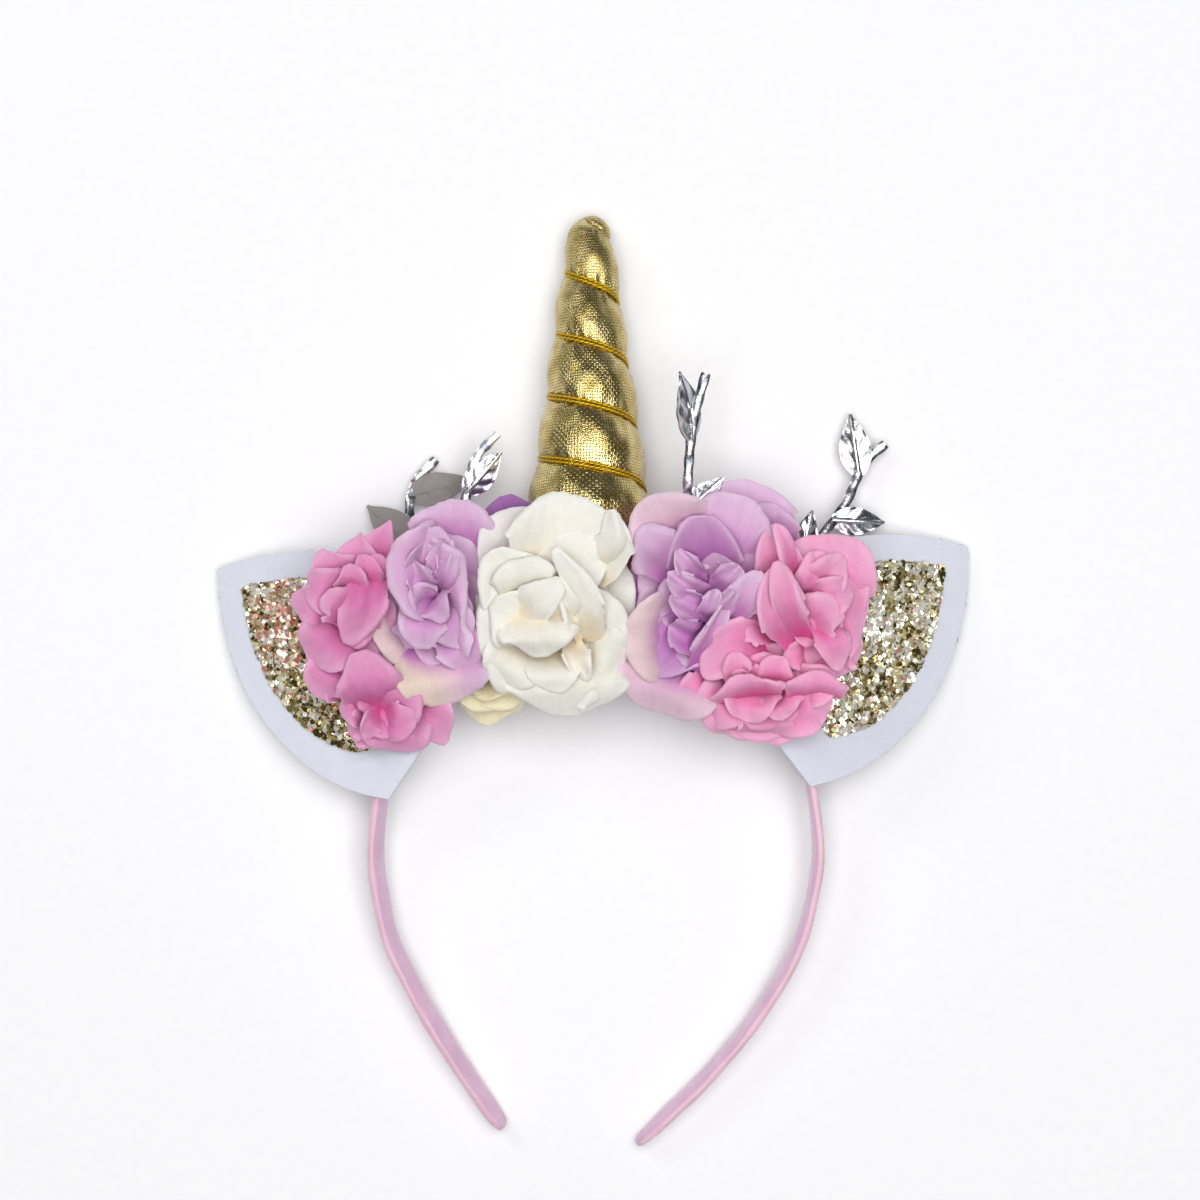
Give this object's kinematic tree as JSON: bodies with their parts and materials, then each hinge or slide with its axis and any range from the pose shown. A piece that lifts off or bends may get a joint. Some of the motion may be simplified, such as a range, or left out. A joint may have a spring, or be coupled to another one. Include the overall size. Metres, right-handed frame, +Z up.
{
  "type": "unicorn horn headband",
  "caption": "Headband with a stuffed gold spiral horn, felt ears with glitter panels, a row of fabric roses and silver leaf sprigs on a slim satin-covered hoop.",
  "frame": {"origin": "bottom centre of the bounding box of the headband lying on its back, on the surface that it lies on", "axes": "+Z up from that surface, out of the front of the headband; +Y along the horn towards its tip; +X to the right as seen from the front"},
  "size_m": [0.2138, 0.2646, 0.0503],
  "materials": {
    "satin": "pale mauve satin ribbon over a plastic strip",
    "gold_cloth": "gold metallic woven cloth with a fine square grid",
    "gold_cord": "bright gold twisted metallic thread",
    "felt": "white felt",
    "glitter": "chunky pale gold glitter",
    "silver_leaf": "embossed silver foil on cloth",
    "ivory_petal": "ivory polyester petals",
    "lilac_petal": "lilac polyester petals with pale edges",
    "purple_petal": "purple polyester petals",
    "pink_petal": "bright pink polyester petals",
    "cream_petal": "cream polyester petals"
  },
  "bodies": {
    "root": {"band": "satin", "horn": "gold_cloth", "horn_cord": "gold_cord", "ear_felt_right": "felt", "ear_glitter_right": "glitter", "ear_felt_left": "felt", "ear_glitter_left": "glitter", "sprig_right_outer": "silver_leaf", "sprig_right_inner": "silver_leaf", "sprig_left_inner": "silver_leaf", "sprig_left_outer": "silver_leaf", "rose_white": "ivory_petal", "blossom_pink_right_upper": "pink_petal", "blossom_pink_right_lower": "pink_petal", "rose_lilac_right": "lilac_petal", "rose_lilac_left": "lilac_petal", "blossom_pink_left_upper": "pink_petal", "blossom_pink_left_lower": "pink_petal", "blossom_cream": "cream_petal", "bloom_purple_rear": "purple_petal", "bloom_lilac_rear": "lilac_petal"}
  },
  "joints": []
}
